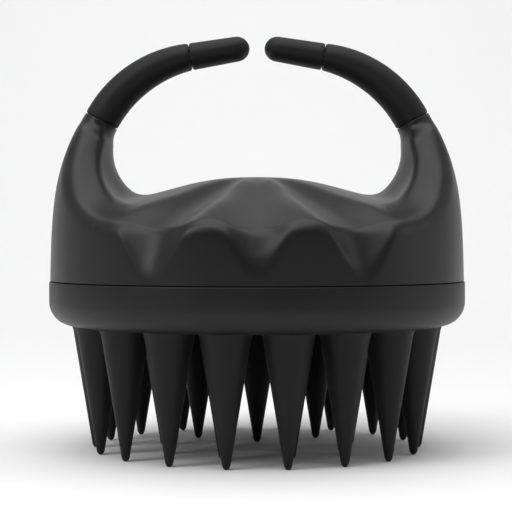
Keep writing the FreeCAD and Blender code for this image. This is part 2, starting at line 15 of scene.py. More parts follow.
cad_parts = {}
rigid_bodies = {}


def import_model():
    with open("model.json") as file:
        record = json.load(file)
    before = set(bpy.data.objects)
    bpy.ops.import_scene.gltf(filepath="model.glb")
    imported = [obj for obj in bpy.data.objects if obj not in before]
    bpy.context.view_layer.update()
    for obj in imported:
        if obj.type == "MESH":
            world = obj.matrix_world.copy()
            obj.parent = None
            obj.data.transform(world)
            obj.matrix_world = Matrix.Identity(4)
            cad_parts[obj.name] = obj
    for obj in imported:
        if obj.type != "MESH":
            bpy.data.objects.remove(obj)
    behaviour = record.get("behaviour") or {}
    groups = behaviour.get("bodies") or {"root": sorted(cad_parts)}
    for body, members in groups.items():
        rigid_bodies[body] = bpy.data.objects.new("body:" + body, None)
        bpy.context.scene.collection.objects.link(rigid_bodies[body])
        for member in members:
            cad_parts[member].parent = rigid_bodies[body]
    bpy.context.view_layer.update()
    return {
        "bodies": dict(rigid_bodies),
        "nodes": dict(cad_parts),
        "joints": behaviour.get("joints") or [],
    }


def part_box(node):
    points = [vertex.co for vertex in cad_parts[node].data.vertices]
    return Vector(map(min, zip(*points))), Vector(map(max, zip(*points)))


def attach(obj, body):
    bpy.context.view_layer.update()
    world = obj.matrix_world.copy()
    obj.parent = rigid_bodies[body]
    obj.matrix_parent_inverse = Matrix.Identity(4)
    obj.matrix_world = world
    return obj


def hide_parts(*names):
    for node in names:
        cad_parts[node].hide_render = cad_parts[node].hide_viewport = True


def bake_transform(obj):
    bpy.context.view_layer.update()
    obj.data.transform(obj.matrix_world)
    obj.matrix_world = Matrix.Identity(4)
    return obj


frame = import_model()

bl_info = {
    "name": "Scalp massager brush",
    "version": (1, 0, 0),
    "blender": (4, 5, 0),
    "location": "View3D > Sidebar > Massager",
    "description": "Models a scalp massager's shell, ring, tines and arms, with their finishes",
    "category": "Mesh",
}

# -------------------- places, in millimetres
MM = 0.001
JOINTS = {joint["name"]: joint for joint in frame["joints"]}


def place_of(joint):
    return Vector(JOINTS[joint]["pos_m"]) / MM


def ring_top():
    """The height of the ring's outer edge, where the shell sits down on it."""
    near_outside = HEAD_RADIUS - 1.0
    return max(v.co.z / MM for v in frame["nodes"]["base_ring"].data.vertices
               if math.hypot(v.co.x, v.co.y) / MM > near_outside)


HEAD_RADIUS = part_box("base_ring")[1].x / MM
SKIRT_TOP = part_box("base_ring")[1].z / MM
BED_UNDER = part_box("bristle_bed")[0].z / MM
BED_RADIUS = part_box("bristle_bed")[1].x / MM
PLATE_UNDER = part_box("carrier_plate")[0].z / MM
PLATE_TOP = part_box("carrier_plate")[1].z / MM
PARTING = ring_top()
SEAM = place_of("right_arm_flex")
KNEE = place_of("right_tip_flex")
TIP_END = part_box("right_arm_tip")[0].x / MM
TINES = [body for body in frame["bodies"] if "_tine_" in body]


# -------------------- what a user may change
class ShellSizes(bpy.types.PropertyGroup):
    """The dome, its dimples and the horns"""
    groove_foot: bpy.props.FloatProperty(
        name="Groove foot radius", description="Radius at the foot of the groove under a dimple",
        default=4.8 * MM, unit="LENGTH")
    dimple_spacing: bpy.props.FloatProperty(
        name="Dimple spacing", description="Angle from one finger dimple to the next",
        default=math.radians(28.0), subtype="ANGLE")
    loop_flare: bpy.props.FloatProperty(
        name="Loop flare", description="How much wider the finger loop gets at its front and back",
        default=2.6 * MM, unit="LENGTH")
    mesh_size: bpy.props.FloatProperty(
        name="Mesh size", description="Edge length of the shell's faces",
        default=0.6 * MM, unit="LENGTH")


class ArmSizes(bpy.types.PropertyGroup):
    """The two arms over the fingers"""
    root_angle: bpy.props.FloatProperty(
        name="Root angle", description="Slope of the arm where it leaves the horn",
        default=math.radians(62.0), subtype="ANGLE")
    end_angle: bpy.props.FloatProperty(
        name="End angle", description="Slope of the arm's end piece",
        default=math.radians(9.5), subtype="ANGLE")
    root_thickness: bpy.props.FloatProperty(
        name="Root thickness", description="Thickness of the sleeve at the horn",
        default=6.8 * MM, unit="LENGTH")
    knee_thickness: bpy.props.FloatProperty(
        name="Knee thickness", description="Thickness of the sleeve at the end piece",
        default=5.2 * MM, unit="LENGTH")
    end_thickness: bpy.props.FloatProperty(
        name="End thickness", description="Thickness of the end piece before its round end",
        default=4.8 * MM, unit="LENGTH")
    root_depth: bpy.props.FloatProperty(
        name="Root depth", description="Front to back depth of the sleeve at the horn",
        default=9.6 * MM, unit="LENGTH")
    knee_depth: bpy.props.FloatProperty(
        name="Knee depth", description="Front to back depth of the sleeve at the end piece",
        default=8.2 * MM, unit="LENGTH")
    edge: bpy.props.FloatProperty(
        name="Seam rounding", description="Rounding of the edges on both sides of a seam",
        default=0.45 * MM, unit="LENGTH")


class TineSizes(bpy.types.PropertyGroup):
    """One soft cone"""
    root_diameter: bpy.props.FloatProperty(
        name="Root diameter", description="Diameter where the cone leaves the bed",
        default=9.2 * MM, unit="LENGTH")
    tip_diameter: bpy.props.FloatProperty(
        name="Tip diameter", description="Diameter at the rounded tip",
        default=1.25 * MM, unit="LENGTH")


class FinishColours(bpy.types.PropertyGroup):
    """The colours of the finishes"""
    plastic: bpy.props.FloatVectorProperty(
        name="Plastic", description="Moulded plastic of the shell and the ring",
        default=(0.0085, 0.0085, 0.0088), subtype="COLOR", size=3)
    silicone: bpy.props.FloatVectorProperty(
        name="Silicone", description="Soft silicone of the tines and the arms",
        default=(0.0052, 0.0052, 0.0054), subtype="COLOR", size=3)
    steel: bpy.props.FloatVectorProperty(
        name="Steel", description="Spring strips and screws",
        default=(0.55, 0.55, 0.56), subtype="COLOR", size=3)
    paper: bpy.props.FloatVectorProperty(
        name="Paper", description="The sweep that the brush stands on",
        default=(0.9, 0.9, 0.9), subtype="COLOR", size=3)


class StudioSizes(bpy.types.PropertyGroup):
    """Where the camera is, and its lens"""
    distance: bpy.props.FloatProperty(
        name="Camera distance", description="From the middle of the head to the camera",
        default=315.2 * MM, unit="LENGTH")
    height: bpy.props.FloatProperty(
        name="Camera height", description="From the floor to the camera",
        default=41.4 * MM, unit="LENGTH")
    pitch: bpy.props.FloatProperty(
        name="Camera pitch", description="How far the camera looks down",
        default=math.radians(0.78), subtype="ANGLE")
    lens: bpy.props.FloatProperty(
        name="Lens", description="Focal length of the camera in millimetres", default=114.3)


# -------------------- modelling by hand
def deselect():
    bpy.ops.object.select_all(action="DESELECT")


def only(obj):
    """Makes one object the active and only selected one."""
    deselect()
    obj.select_set(True)
    bpy.context.view_layer.objects.active = obj


def edit(obj):
    """Opens a piece in edit mode, with all of it selected."""
    only(obj)
    bpy.ops.object.mode_set(mode="EDIT")
    bpy.ops.mesh.select_all(action="SELECT")


def edit_done():
    bpy.ops.object.mode_set(mode="OBJECT")


def slice_off(place, way):
    """In edit mode, cuts the whole piece along a plane and drops what lies beyond it."""
    bpy.ops.mesh.select_all(action="SELECT")
    bpy.ops.mesh.bisect(plane_co=place, plane_no=way, clear_outer=True, use_fill=True)


def named(name):
    """Names the primitive that was just added, and puts its place into its mesh."""
    bpy.ops.object.transform_apply(location=True, rotation=True, scale=True)
    obj = bpy.context.object
    obj.name = name
    obj.data.name = name
    return obj


def select_where(obj, test, kind="verts"):
    """In edit mode, selects the vertices or faces whose middle passes a test, in millimetres."""
    mesh = bmesh.from_edit_mesh(obj.data)
    bpy.ops.mesh.select_all(action="DESELECT")
    bpy.ops.mesh.select_mode(type="VERT" if kind == "verts" else "FACE")
    for item in getattr(mesh, kind):
        middle = item.co if kind == "verts" else item.calc_center_median()
        if test(middle / MM):
            item.select = True
    mesh.select_flush(True)
    bmesh.update_edit_mesh(obj.data)


def finish_with(obj, kind, **settings):
    """Adds a modifier and applies it."""
    only(obj)
    modifier = obj.modifiers.new(kind.title(), kind)
    for name, value in settings.items():
        setattr(modifier, name, value)
    bpy.ops.object.modifier_apply(modifier=modifier.name)


def combine(obj, other, operation):
    """Joins, cuts or trims a piece with another, which is used up."""
    finish_with(obj, "BOOLEAN", object=other, operation=operation, solver="EXACT")
    bpy.data.objects.remove(other)


def smooth(obj, degrees=35.0):
    only(obj)
    bpy.ops.object.shade_smooth_by_angle(angle=math.radians(degrees))


def extruded(name, rings, ends="flat"):
    """A piece drawn out by hand: a circle is placed, then extruded to each ring of points in turn.

    ends is "flat" to close both ends with a face, or "joined" to bridge the last ring to the first.
    """
    deselect()
    bpy.ops.mesh.primitive_circle_add(vertices=len(rings[0]), radius=MM)
    obj = named(name)
    edit(obj)
    bpy.ops.mesh.select_mode(type="VERT")
    mesh = bmesh.from_edit_mesh(obj.data)
    mesh.verts.ensure_lookup_table()
    order = {v.index: k for k, v in enumerate(mesh.verts)}
    for v in mesh.verts:
        v.co = Vector(rings[0][order[v.index]]) * MM
    first = list(order)
    for ring in rings[1:]:
        bpy.ops.mesh.extrude_region_move()
        mesh = bmesh.from_edit_mesh(obj.data)
        mesh.verts.index_update()
        mesh.verts.ensure_lookup_table()
        drawn = {}
        for v in mesh.verts:
            if v.select:
                near = [e.other_vert(v).index for e in v.link_edges]
                drawn[v.index] = next(order[i] for i in near if i in order)
                v.co = Vector(ring[drawn[v.index]]) * MM
        order = drawn
    mesh = bmesh.from_edit_mesh(obj.data)
    mesh.verts.ensure_lookup_table()
    last = list(order)
    for ring in ([first + last] if ends == "joined" else [first, last]):
        bpy.ops.mesh.select_all(action="DESELECT")
        mesh = bmesh.from_edit_mesh(obj.data)
        mesh.verts.ensure_lookup_table()
        for k in ring:
            mesh.verts[k].select = True
        mesh.select_flush(True)
        bmesh.update_edit_mesh(obj.data)
        if ends == "joined":
            bpy.ops.mesh.bridge_edge_loops()
        else:
            bpy.ops.mesh.edge_face_add()
    bpy.ops.mesh.select_all(action="SELECT")
    bpy.ops.mesh.normals_make_consistent(inside=False)
    edit_done()
    return obj


def round_rings(outline, sides):
    """Level circles of points, one for each (radius, height) of an outline."""
    turns = [2 * math.pi * k / sides for k in range(sides)]
    return [[(r * math.sin(a), -r * math.cos(a), z) for a in turns] for r, z in outline]


def arc(centre, radius, start, end, steps):
    """Points (radius, height) of an arc in a piece's half section, with angles in degrees."""
    angles = [math.radians(start + (end - start) * k / steps) for k in range(steps + 1)]
    return [(centre[0] + radius * math.cos(a), centre[1] + radius * math.sin(a)) for a in angles]


def copy_of(obj, name, matrix):
    """A copy of a piece with its own mesh, moved in its mesh."""
    twin = obj.copy()
    twin.data = obj.data.copy()
    twin.name = twin.data.name = name
    twin.data.transform(matrix)
    if matrix.determinant() < 0:
        twin.data.flip_normals()
    bpy.context.scene.collection.objects.link(twin)
    return twin


# -------------------- the shell's form
def soft_min(a, b, k):
    """The smaller of two distances, with the corner between them rounded over k."""
    h = np.clip(0.5 + 0.5 * (b - a) / k, 0.0, 1.0)
    return b + (a - b) * h - k * h * (1.0 - h)


def soft_max(a, b, k):
    return -soft_min(-a, -b, k)


def eased(start, end, t):
    t = np.clip((t - start) / (end - start), 0.0, 1.0)
    return t * t * (3.0 - 2.0 * t)


class Curve:
    """A smooth line through a few points, straight beyond its ends."""

    def __init__(self, points):
        self.t, self.v = np.array(sorted(points), float).T
        n = len(self.t)
        gap = np.diff(self.t)
        rise = np.diff(self.v) / gap
        rows = np.eye(n)
        sums = np.zeros(n)
        for i in range(1, n - 1):
            rows[i, i - 1:i + 2] = gap[i - 1], 2 * (gap[i - 1] + gap[i]), gap[i]
            sums[i] = 6 * (rise[i] - rise[i - 1])
        self.bend = np.linalg.solve(rows, sums)

    def __call__(self, t):
        inside = np.clip(t, self.t[0], self.t[-1])
        i = np.clip(np.searchsorted(self.t, inside) - 1, 0, len(self.t) - 2)
        gap = self.t[i + 1] - self.t[i]
        a = (self.t[i + 1] - inside) / gap
        b = 1 - a
        curved = a * self.v[i] + b * self.v[i + 1]
        curved += ((a ** 3 - a) * self.bend[i] + (b ** 3 - b) * self.bend[i + 1]) * gap ** 2 / 6
        return curved + (t - inside) * self.slope(inside)

    def slope(self, t):
        i = np.clip(np.searchsorted(self.t, t) - 1, 0, len(self.t) - 2)
        gap = self.t[i + 1] - self.t[i]
        a = (self.t[i + 1] - t) / gap
        b = 1 - a
        rise = (self.v[i + 1] - self.v[i]) / gap
        bend = (3 * b * b - 1) * self.bend[i + 1] - (3 * a * a - 1) * self.bend[i]
        return rise + bend * gap / 6


class ShellForm:
    """How far a point is outside the handle shell, in millimetres; less than nothing is inside.

    The shell is the same on its left and right, and on its front and back.
    """

    edge_rounding = 2.1  # shoulder, between the dimples
    horn_edge_rounding = 2.8
    edge_change = (43.0, 52.0)  # heights from the first to the second
    valley_rounding = 1.8  # where a horn meets the dome
    crease_rounding = 0.9  # along a groove's edges
    dimple_rounding = 1.6  # round a dimple
    loop_rounding = 1.0  # edges of the finger loop
    crown_steepness = 0.97  # turns a height over the crown into a distance from it
    bowl_inset = 3.0  # a bowl's floor starts this far inside the wall
    bowl_height = 9.6  # and this far over the parting line
    bowl_rise = 9.9  # and climbs this much
    bowl_end = 8.0  # on its way to this radius
    bowl_taper = 33.0  # length over which a bowl would narrow to nothing
    bowl_radii = (1.4, 22.0)  # smallest and largest radius of a bowl
    groove_inset = 0.25  # a groove's foot starts this far inside the wall
    groove_lean = 24.0  # of the groove down the wall, from upright
    groove_radii = (0.8, 11.0)  # smallest and largest radius of a groove
    horn_foot = 10.5  # height over the parting line where a horn starts
    scoop_depth = 2.6  # hollow in a horn's front, at its inner edge
    scoop_width = 8.0  # how far the hollow reaches outwards
    scoop_start = 4.0  # half depth of the horn under which it has no hollow
    scoop_full = 6.0  # further half depth over which the hollow grows
    loop_radius = 9.9
    loop_inset = 22.0  # from the wall to the middle of the loop's lower corner
    loop_height = 25.1  # from the parting line to that middle
    flare_reach = 9.0  # distance from the middle over which the loop widens
    seam_blend = (-3.4, -0.4)  # where the horn turns into the sleeve's oval
    seam_zone = (15.0, 22.0)  # only the horns' ends are further out and higher than this

    def __init__(self, shell, arm):
        turn = arm.root_angle
        self.along = np.array([-math.cos(turn), 0.0, math.sin(turn)])
        self.out = np.array([math.sin(turn), 0.0, math.cos(turn)])
        self.seam = np.array(SEAM)
        self.half_thick = arm.root_thickness / MM / 2
        self.half_deep = arm.root_depth / MM / 2
        seam_outer = self.seam + self.out * self.half_thick
        beyond = seam_outer + self.along * 4.0
        outside = HEAD_RADIUS
        level = PARTING
        # each curve's points are (height, radius), (radius, height) and (height, half depth)
        self.wall = Curve([(level, outside - 0.2), (level + 6.0, outside - 0.35),
                           (level + 13.0, outside - 0.75), (level + 18.5, outside - 1.5),
                           (level + 23.5, outside - 2.8), (level + 28.2, outside - 4.7),
                           (seam_outer[2], seam_outer[0]), (beyond[2], beyond[0])])
        self.crown = Curve([(0.0, level + 20.1), (7.5, level + 19.7), (13.0, level + 18.7),
                            (19.0, level + 17.1), (24.0, level + 15.9), (30.0, level + 14.4),
                            (34.0, level + 13.1), (39.0, level + 11.2)])
        self.flare = Curve([(level + self.horn_foot, 28.4), (level + 14.7, 20.6),
                            (level + 19.2, 15.1), (level + 24.2, 10.5), (level + 28.2, 7.5),
                            (level + 31.0, 5.2), (level + 35.0, 4.9)])
        self.groove_foot = shell.groove_foot / MM
        self.spacing = math.degrees(shell.dimple_spacing)
        self.loop_flare = shell.loop_flare / MM
        # the bowls of the finger dimples: the angle from the front and the radius at the wall
        self.bowls = [(0.0, 9.5), (self.spacing, 13.0)]
        # the grooves from them down the wall: the angle, the foot's height and how fast they widen
        self.grooves = [(0.0, level + 3.4, 0.36), (self.spacing, level + 2.0, 0.58)]

    def bowl(self, x, y, z, angle, width):
        """A dimple's bowl on the dome, which narrows towards the middle."""
        a = math.radians(angle)
        out = x * math.sin(a) + y * math.cos(a)
        side = x * math.cos(a) - y * math.sin(a)
        bend, bend_z = HEAD_RADIUS - self.bowl_inset, PARTING + self.bowl_height
        run, rise = bend - self.bowl_end, self.bowl_rise
        length = math.hypot(rise, run)
        along = ((bend - out) * run + (z - bend_z) * rise) / length
        above = ((out - bend) * rise + (z - bend_z) * run) / length
        radius = np.clip(width * (1.0 - along / self.bowl_taper), *self.bowl_radii)
        return np.hypot(above - radius, side) - radius

    def groove(self, x, y, z, angle, foot, widening):
        """A groove that leans inward up the wall and widens as it goes."""
        a = math.radians(angle)
        out = x * math.sin(a) + y * math.cos(a)
        side = x * math.cos(a) - y * math.sin(a)
        lean = math.radians(self.groove_lean)
        wall = HEAD_RADIUS - self.groove_inset
        up = (z - foot) * math.cos(lean) - (out - wall) * math.sin(lean)
        lift = (out - wall) * math.cos(lean) + (z - foot) * math.sin(lean)
        radius = np.clip(self.groove_foot + widening * up, *self.groove_radii)
        return np.hypot(lift - radius, side) - radius

    def dome(self, x, y, z):
        r = np.hypot(x, y)
        top = (z - self.crown(r)) * self.crown_steepness
        for bowl in self.bowls:
            top = soft_max(top, -self.bowl(x, y, z, *bowl), self.dimple_rounding)
        return top

    def horn(self, x, y, z):
        low = PARTING + self.horn_foot
        half = self.flare(np.maximum(z, low))
        outer = np.sqrt(np.maximum(self.wall(z) ** 2 - half ** 2, 1.0))
        inward = np.clip((outer - x) / self.scoop_width, 0.0, 1.0)
        share = eased(0.0, self.scoop_full, half - self.scoop_start)
        scoop = self.scoop_depth * inward ** 2 * share
        steep = np.sqrt(1.0 + np.where(z > low, self.flare.slope(np.maximum(z, low)), 0.0) ** 2)
        side = (y - half + scoop) / steep
        widened = self.loop_radius + self.loop_flare * (1.0 - np.exp(-(y / self.flare_reach) ** 2))
        loop_x = HEAD_RADIUS - self.loop_inset
        loop = widened - np.hypot(x - loop_x, z - PARTING - self.loop_height)
        body = soft_max(side, loop, self.loop_rounding)
        return soft_max(body, loop_x - x, self.loop_rounding)

    def __call__(self, p):
        x, y, z = np.abs(p[:, 0]), np.abs(p[:, 1]), p[:, 2]
        r = np.hypot(x, y)
        wall = (r - self.wall(z)) / np.sqrt(1.0 + self.wall.slope(z) ** 2)
        body = soft_min(self.dome(x, y, z), self.horn(x, y, z), self.valley_rounding)
        rounding = self.edge_rounding
        rounding = rounding + (self.horn_edge_rounding - rounding) * eased(*self.edge_change, z)
        whole = soft_max(wall, body, rounding)
        for groove in self.grooves:
            whole = soft_max(whole, -self.groove(x, y, z, *groove), self.crease_rounding)
        reach = self.past_seam(p)
        offset = np.stack([x, y, z], 1) - self.seam
        oval = np.hypot(offset @ self.out / self.half_thick, y / self.half_deep) - 1.0
        share = eased(*self.seam_blend, reach) * self.near_seam(p)
        return whole * (1 - share) + oval * self.half_thick * share

    def near_seam(self, p):
        return (np.abs(p[:, 0]) > self.seam_zone[0]) & (p[:, 2] > PARTING + self.seam_zone[1])

    def past_seam(self, p):
        """How far a point is beyond the nearer seam, along the arm."""
        offset = np.stack([np.abs(p[:, 0]), p[:, 1], p[:, 2]], 1) - self.seam
        return offset @ self.along


def press_to(obj, form, movable, rounds=10, step=0.02, gentlest=0.2, furthest=1.2):
    """Moves a piece's vertices onto a form, each along the form's own slope.

    step is what the slope is measured over. A slope under gentlest is taken as that, and no vertex
    moves more than furthest in one round.
    """
    mesh = obj.data
    flat = np.empty(len(mesh.vertices) * 3)
    mesh.vertices.foreach_get("co", flat)
    p = flat.reshape(-1, 3) / MM
    for _ in range(rounds):
        away = form(p)
        slope = np.empty_like(p)
        for k in range(3):
            side = np.zeros(3)
            side[k] = step
            slope[:, k] = (form(p + side) - form(p - side)) / (2 * step)
        steep = np.maximum((slope ** 2).sum(1), gentlest)
        move = -slope * (away / steep)[:, None]
        length = np.linalg.norm(move, axis=1, keepdims=True)
        move *= np.minimum(1.0, furthest / np.maximum(length, 1e-9))
        p += move * movable(p)[:, None]
    mesh.vertices.foreach_set("co", (p * MM).ravel())
    mesh.update()


# -------------------- finishes
class Wire:
    """A socket in a finish that can be used in sums."""

    def __init__(self, finish, socket):
        self.finish = finish
        self.socket = socket

    def __add__(self, other):
        return self.finish.node("ShaderNodeMath", [self, other], operation="ADD")

    __radd__ = __add__

    def __sub__(self, other):
        return self.finish.node("ShaderNodeMath", [self, other], operation="SUBTRACT")

    def __rsub__(self, other):
        return self.finish.node("ShaderNodeMath", [other, self], operation="SUBTRACT")

    def __mul__(self, other):
        return self.finish.node("ShaderNodeMath", [self, other], operation="MULTIPLY")

    __rmul__ = __mul__


class NodeSums:
    """A node tree that is written as sums."""

    def __init__(self, tree):
        self.tree = tree

    def node(self, kind, sockets=(), output=0, **settings):
        """Adds a node: its settings first, then its sockets by place or by name."""
        node = self.tree.nodes.new(kind)
        for name, value in settings.items():
            setattr(node, name, value)
        for socket, value in sockets.items() if isinstance(sockets, dict) else enumerate(sockets):
            if isinstance(value, Wire):
                self.tree.links.new(value.socket, node.inputs[socket])
            else:
                node.inputs[socket].default_value = value
        return Wire(self, node.outputs[output])

    def feed(self, node, socket, wire):
        self.tree.links.new(wire.socket, self.tree.nodes[node].inputs[socket])

    def ramp(self, wire, low, high):
        """A value spread from one stretch to 0..1, held at both ends."""
        return self.node("ShaderNodeMapRange", {"Value": wire, "From Min": low, "From Max": high})


class Finish(NodeSums):
    """A material with one principled shader."""

    def __init__(self, name, colour, roughness, **constants):
        self.material = bpy.data.materials.new(name)
        self.material.use_nodes = True
        super().__init__(self.material.node_tree)
        shader = self.tree.nodes["Principled BSDF"]
        shader.inputs["Base Color"].default_value = (*colour, 1.0)
        shader.inputs["Roughness"].default_value = roughness
        for socket, value in constants.items():
            shader.inputs[socket.replace("_", " ")].default_value = value
        self.place = self.node("ShaderNodeTexCoord", output="Object")

    def vary(self, socket, wire):
        self.feed("Principled BSDF", socket, wire)

    def noise(self, size_mm, detail=3.0, rough=0.5, place=None):
        """Cloudy noise whose features are about a size in millimetres."""
        sockets = {"Vector": place or self.place, "Scale": 1.0 / (size_mm * MM),
                   "Detail": detail, "Roughness": rough}
        return self.node("ShaderNodeTexNoise", sockets)

    def tint(self, factor, first, second):
        """A colour between two, by a factor from 0 to 1."""
        sockets = {"Factor": factor, "A": (*first, 1.0), "B": (*second, 1.0)}
        return self.node("ShaderNodeMix", sockets, output="Result", data_type="RGBA")

    def raise_by(self, height, depth_mm, strength=1.0):
        """Bumps the surface by a height from 0 to 1, which stands for a depth in millimetres."""
        sockets = {"Height": height, "Distance": depth_mm * MM, "Strength": strength}
        self.vary("Normal", self.node("ShaderNodeBump", sockets, output="Normal"))


def scaled(colour, by):
    return tuple(c * by for c in colour)


def satin_plastic(name, colour, roughness):
    """Black moulded plastic with a fine spark-eroded grain and soft patches of handling."""
    finish = Finish(name, colour, roughness, IOR=1.5, Specular_IOR_Level=0.32)
    patches = finish.noise(14.0, detail=4.0)
    cloud = finish.ramp(patches, 0.3, 0.7)
    grain = finish.noise(0.32, detail=2.0, rough=0.6)
    finish.vary("Base Color", finish.tint(cloud, scaled(colour, 0.9), scaled(colour, 1.12)))
    finish.vary("Roughness", roughness - 0.03 + 0.05 * cloud + 0.05 * grain)
    finish.raise_by(grain, 0.012)
    return finish.material


def matte_silicone(name, colour):
    """Soft black silicone: dull, a little powdery, with a very fine skin."""
    finish = Finish(name, colour, 0.6, IOR=1.43, Specular_IOR_Level=0.35,
                    Sheen_Weight=0.03, Sheen_Roughness=0.5)
    dust = finish.ramp(finish.noise(3.5, detail=5.0, rough=0.65), 0.45, 0.8)
    skin = finish.noise(0.22, detail=2.0, rough=0.7)
    finish.vary("Base Color", finish.tint(dust, colour, scaled(colour, 1.5)))
    finish.vary("Roughness", 0.56 + 0.1 * dust + 0.06 * skin)
    finish.raise_by(skin, 0.01)
    return finish.material


def rolled_steel(name, colour, stretch):
    """Bright steel with fine drawn lines along one direction."""
    finish = Finish(name, colour, 0.3, Metallic=1.0)
    lines = finish.node("ShaderNodeMapping", {"Vector": finish.place, "Scale": stretch})
    streaks = finish.noise(0.5, detail=4.0, place=lines)
    finish.vary("Base Color", finish.tint(streaks, scaled(colour, 0.85), scaled(colour, 1.1)))
    finish.vary("Roughness", 0.22 + 0.2 * streaks)
    finish.raise_by(streaks, 0.004)
    return finish.material


def sweep_paper(name, colour):
    """Matte white paper under and behind the brush."""
    finish = Finish(name, colour, 0.9)
    fibres = finish.noise(1.2, detail=4.0)
    finish.vary("Base Color", finish.tint(fibres, scaled(colour, 0.995), scaled(colour, 1.005)))
    return finish.material


def dress(obj, material):
    obj.data.materials.clear()
    obj.data.materials.append(material)


# -------------------- operators
class MASSAGER_OT_shell(bpy.types.Operator):
    """Model the handle shell: the dimpled dome with its two horns"""
    bl_idname = "massager.shell"
    bl_label = "Handle shell"

    groove = 0.2  # parting groove between the shell and the ring
    seam_edge = 0.3  # rounding of the cut edge at each seam
    stub = 2.0  # past a seam, where the form ends and the cut takes over

    def execute(self, context):
        settings = context.scene.massager
        form = ShellForm(settings.shell, settings.arm)
        shell = self.rough_out(form)
        size = settings.shell.mesh_size * 1.0
        finish_with(shell, "REMESH", mode="VOXEL", voxel_size=size, use_smooth_shade=True)
        keep = PARTING - 0.6

        def movable(p):
            stub = form.near_seam(p) & (form.past_seam(p) > self.stub)
            return ((p[:, 2] > keep) & ~stub).astype(float)

        for _ in range(3):
            press_to(shell, form, movable)
            self.relax(shell)
        press_to(shell, form, movable, rounds=14)
        self.trim(shell, form)
        self.hollow(shell)
        smooth(shell, 40.0)
        dress(shell, satin_plastic("shell_plastic_finish", settings.finish.plastic, 0.37))
        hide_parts("handle_shell")
        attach(shell, "head")
        return {"FINISHED"}

    def rough_out(self, form):
        """A drum with two slabs on it, trimmed to about the horns' shape."""
        low, high = PARTING - 2.0, PARTING + 14.5
        deselect()
        bpy.ops.mesh.primitive_cylinder_add(
            vertices=96, radius=(HEAD_RADIUS - 0.6) * MM, depth=(high - low) * MM,
            location=(0, 0, (low + high) / 2 * MM))
        drum = named("handle_shell_form")
        for side in (-1, 1):
            slab = self.slab(form, side)
            bell = [(0.97 * form.wall(z), z) for z in np.linspace(PARTING + 4, PARTING + 40, 10)]
            combine(slab, extruded("bell", round_rings(bell, 96)), "INTERSECT")
            # the finger loop in two cuts: their shift from its lower corner, and their extra radius
            for x, z, radius in ((0.0, 0.0, 0.4), (-1.5, 6.6, 0.6)):
                middle = (side * (HEAD_RADIUS - form.loop_inset + x) * MM, 0,
                          (PARTING + form.loop_height + z) * MM)
                deselect()
                bpy.ops.mesh.primitive_cylinder_add(
                    vertices=48, radius=(form.loop_radius + radius) * MM, depth=0.1,
                    location=middle, rotation=(math.pi / 2, 0, 0))
                combine(slab, named("loop"), "DIFFERENCE")
            combine(drum, slab, "UNION")
        return drum

    def slab(self, form, side):
        """A block that is trimmed to one horn's side view and to just past its seam."""
        width, depth, height, above = 20.0, 62.0, 28.0, 8.0
        middle = (side * (HEAD_RADIUS - form.loop_inset + width / 2) * MM, 0,
                  (PARTING + above + height / 2) * MM)
        deselect()
        bpy.ops.mesh.primitive_cube_add(size=1.0, location=middle)
        slab = named("horn_form")
        edit(slab)
        bpy.ops.transform.resize(value=(width * MM, depth * MM, height * MM),
                                 center_override=middle)
        foot = Vector((0, 28.0, PARTING + form.horn_foot))
        lean = (0.68, 0.73)  # of the cuts at its front and back
        for front in (-1, 1):
            slice_off((0, front * foot.y * MM, foot.z * MM), (0, front * lean[0], lean[1]))
        past = Vector(form.seam + form.along * 3.4) * MM
        slice_off((side * past.x, 0, past.z), (side * form.along[0], 0, form.along[2]))
        edit_done()
        return slab

    def relax(self, shell):
        edit(shell)
        bpy.ops.mesh.vertices_smooth(factor=0.5, repeat=4)
        edit_done()

    def trim(self, shell, form):
        """Cuts the shell off at its parting line and at both seams, and rounds the cut edges."""
        edit(shell)
        bpy.ops.mesh.bisect(plane_co=(0, 0, (PARTING + self.groove) * MM), plane_no=(0, 0, 1),
                            clear_inner=True, use_fill=True)
        for side in (-1, 1):
            out, up = form.seam_zone
            select_where(shell, lambda p: side * p.x > out and p.z > PARTING + up, "faces")
            bpy.ops.mesh.bisect(plane_co=(side * SEAM.x * MM, 0, SEAM.z * MM),
                                plane_no=(side * form.along[0], 0, form.along[2]),
                                clear_outer=True, use_fill=True)
            bpy.ops.mesh.bevel(offset=self.seam_edge * MM, segments=3, affect="EDGES",
                               clamp_overlap=True)
        edit_done()

    def hollow(self, shell):
        """Sinks a bore for the ring's skirt into the underside, and a narrower hollow above it."""
        edit(shell)
        flat_middle = 5.0
        just_over = PARTING + self.groove + 0.05
        select_where(shell, lambda p: p.z < just_over and math.hypot(p.x, p.y) < flat_middle,
                     "faces")
        over_skirt = SKIRT_TOP + 0.3 - PARTING - self.groove
        for inset, rise in ((2.5, over_skirt), (6.0, 4.0), (8.0, 3.0)):
            bpy.ops.mesh.inset(thickness=inset * MM)
            bpy.ops.mesh.extrude_region_move(TRANSFORM_OT_translate={"value": (0, 0, rise * MM)})
        edit_done()


